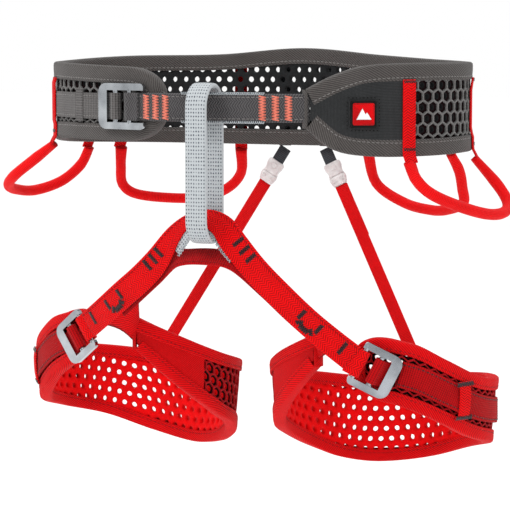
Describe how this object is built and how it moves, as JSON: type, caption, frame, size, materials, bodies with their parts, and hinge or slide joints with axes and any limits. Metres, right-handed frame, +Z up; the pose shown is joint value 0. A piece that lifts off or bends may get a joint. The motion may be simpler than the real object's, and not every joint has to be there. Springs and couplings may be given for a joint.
{
  "type": "climbing harness",
  "caption": "Sit harness for sport climbing: padded waist belt with gear loops, belay loop, webbing bridge, padded leg loops, buckles and elastic rear risers.",
  "frame": {"origin": "centre of the waist opening at the height of the tie-in webbing's middle", "axes": "+Z up, +X towards the wearer's left, so the wearer faces -Y"},
  "size_m": [0.3967, 0.2456, 0.3178],
  "materials": {
    "inner_foam": "matt",
    "belt_mesh": "matt",
    "belt_tape": "twill",
    "side_panel": "smooth",
    "badge": "woven",
    "badge_peak": "woven",
    "belt_webbing": "ribbed",
    "pale_webbing": "speckled",
    "bartack_orange": "thread",
    "bartack_black": "thread",
    "black_webbing": "ribbed",
    "red_webbing": "ribbed",
    "dark_red_webbing": "ribbed",
    "gear_tube": "satin",
    "buckle": "polished",
    "leg_foam": "matt",
    "leg_mesh": "matt",
    "red_tape": "twill",
    "clip": "translucent",
    "red_elastic": "elastic"
  },
  "bodies": {
    "waist": {"belt_foam": "inner_foam", "belt_mesh": "belt_mesh", "belt_edge_tape": "belt_tape", "side_panel": "side_panel", "badge_patch": "badge", "badge_peak": "badge_peak", "waist_webbing": "belt_webbing", "tie_in_protector": "pale_webbing", "waist_bartacks": "bartack_orange", "waist_adjust_webbing": "belt_webbing", "riser_anchors": "black_webbing", "gear_strap_front_left": "red_webbing", "gear_strap_front_right": "red_webbing", "gear_strap_back_left": "red_webbing", "gear_strap_back_right": "red_webbing", "waist_webbing_fold": "belt_webbing"},
    "gear_loop_front_left": {"gear_loop_front_left": "gear_tube"},
    "gear_loop_front_right": {"gear_loop_front_right": "gear_tube"},
    "gear_loop_back_left": {"gear_loop_back_left": "gear_tube"},
    "gear_loop_back_right": {"gear_loop_back_right": "gear_tube"},
    "waist_buckle": {"waist_buckle_frame": "buckle"},
    "waist_slider": {"waist_buckle_slider": "buckle", "waist_webbing_wrap": "belt_webbing"},
    "belay": {"belay_loop": "pale_webbing", "belay_bartacks": "bartack_black"},
    "legs": {"bridge_webbing": "red_webbing", "bridge_cross_strap": "dark_red_webbing", "bridge_protector": "pale_webbing", "leg_foam_left": "leg_foam", "leg_mesh_left": "leg_mesh", "leg_edge_tape_left": "red_tape", "leg_adjust_webbing_left": "dark_red_webbing", "leg_keeper_left": "red_webbing", "leg_gusset_left": "red_webbing", "leg_bartacks_left": "bartack_black", "leg_webbing_fold_left": "red_webbing", "leg_foam_right": "leg_foam", "leg_mesh_right": "leg_mesh", "leg_edge_tape_right": "red_tape", "leg_adjust_webbing_right": "dark_red_webbing", "leg_keeper_right": "red_webbing", "leg_gusset_right": "red_webbing", "leg_bartacks_right": "bartack_black", "leg_webbing_fold_right": "red_webbing"},
    "leg_buckle_left": {"leg_buckle_frame_left": "buckle"},
    "leg_slider_left": {"leg_buckle_slider_left": "buckle", "leg_webbing_wrap_left": "dark_red_webbing"},
    "riser_left": {"riser_tab_left": "black_webbing", "riser_socket_left": "clip", "riser_strap_left": "red_elastic"},
    "clip_left": {"riser_plug_left": "clip", "riser_tail_left": "red_elastic"},
    "leg_buckle_right": {"leg_buckle_frame_right": "buckle"},
    "leg_slider_right": {"leg_buckle_slider_right": "buckle", "leg_webbing_wrap_right": "dark_red_webbing"},
    "riser_right": {"riser_tab_right": "black_webbing", "riser_socket_right": "clip", "riser_strap_right": "red_elastic"},
    "clip_right": {"riser_plug_right": "clip", "riser_tail_right": "red_elastic"}
  },
  "joints": [
    {"name": "belay_swing", "type": "hinge", "parent": "waist", "child": "belay", "pos_m": [0, -0.112, 0], "axis": [1, 0, 0], "range_deg": [-25, 20]},
    {"name": "legs_hang", "type": "hinge", "parent": "belay", "child": "legs", "pos_m": [0, -0.112, -0.078], "axis": [1, 0, 0], "range_deg": [-20, 25]},
    {"name": "riser_swing_left", "type": "hinge", "parent": "waist", "child": "riser_left", "pos_m": [0.017, 0.099, -0.0395], "axis": [1, 0, 0], "range_deg": [-11.5, 9.5]},
    {"name": "riser_clip_left", "type": "slide", "parent": "riser_left", "child": "clip_left", "axis": [0.446, -0.0991, -0.8895], "range_m": [0, 0.016], "deforming": ["riser_strap_left"]},
    {"name": "riser_swing_right", "type": "hinge", "parent": "waist", "child": "riser_right", "pos_m": [-0.017, 0.099, -0.0395], "axis": [1, 0, 0], "range_deg": [-11.5, 9.5]},
    {"name": "riser_clip_right", "type": "slide", "parent": "riser_right", "child": "clip_right", "axis": [-0.5131, -0.0977, -0.8527], "range_m": [0, 0.016], "deforming": ["riser_strap_right"]},
    {"name": "gear_lift_front_left", "type": "hinge", "parent": "waist", "child": "gear_loop_front_left", "pos_m": [0.14937, -0.02818, -0.03834], "axis": [-0.3482, -0.9373, -0.0127], "range_deg": [-8, 45], "stiffness_Nm_per_rad": 0.15},
    {"name": "gear_lift_front_right", "type": "hinge", "parent": "waist", "child": "gear_loop_front_right", "pos_m": [-0.15169, -0.01186, -0.03409], "axis": [-0.1072, 0.9906, -0.0852], "range_deg": [-8, 45], "stiffness_Nm_per_rad": 0.15},
    {"name": "gear_lift_back_left", "type": "hinge", "parent": "waist", "child": "gear_loop_back_left", "pos_m": [0.09219, 0.07701, -0.0395], "axis": [0.905, -0.425, 0.0187], "range_deg": [-8, 45], "stiffness_Nm_per_rad": 0.15},
    {"name": "gear_lift_back_right", "type": "hinge", "parent": "waist", "child": "gear_loop_back_right", "pos_m": [-0.09624, 0.0732, -0.03938], "axis": [0.8891, 0.4571, -0.0212], "range_deg": [-8, 45], "stiffness_Nm_per_rad": 0.15},
    {"name": "waist_buckle_tilt", "type": "hinge", "parent": "waist", "child": "waist_buckle", "pos_m": [-0.06077, -0.1053, 0], "axis": [0, 0, 1], "range_deg": [0, 9]},
    {"name": "waist_slider_slide", "type": "slide", "parent": "waist_buckle", "child": "waist_slider", "axis": [-0.9617, 0.2739, 0], "range_m": [0, 0.003]},
    {"name": "leg_buckle_tilt_left", "type": "hinge", "parent": "legs", "child": "leg_buckle_left", "pos_m": [0.105, -0.08, -0.18], "axis": [-0.4299, -0.1352, -0.8927], "range_deg": [0, 9]},
    {"name": "leg_slider_slide_left", "type": "slide", "parent": "leg_buckle_left", "child": "leg_slider_left", "axis": [0.8408, 0.3003, -0.4504], "range_m": [0, 0.003]},
    {"name": "leg_buckle_tilt_right", "type": "hinge", "parent": "legs", "child": "leg_buckle_right", "pos_m": [-0.109, -0.08, -0.166], "axis": [-0.5734, 0.1803, 0.7992], "range_deg": [0, 9]},
    {"name": "leg_slider_slide_right", "type": "slide", "parent": "leg_buckle_right", "child": "leg_slider_right", "axis": [-0.7453, 0.2901, -0.6003], "range_m": [0, 0.003]}
  ],
  "couplings": [
    {"joint": "legs_hang", "follows": "belay_swing", "ratio": -1},
    {"joint": "riser_swing_left", "follows": "belay_swing", "ratio": 0.4345},
    {"joint": "riser_swing_right", "follows": "belay_swing", "ratio": 0.447}
  ]
}
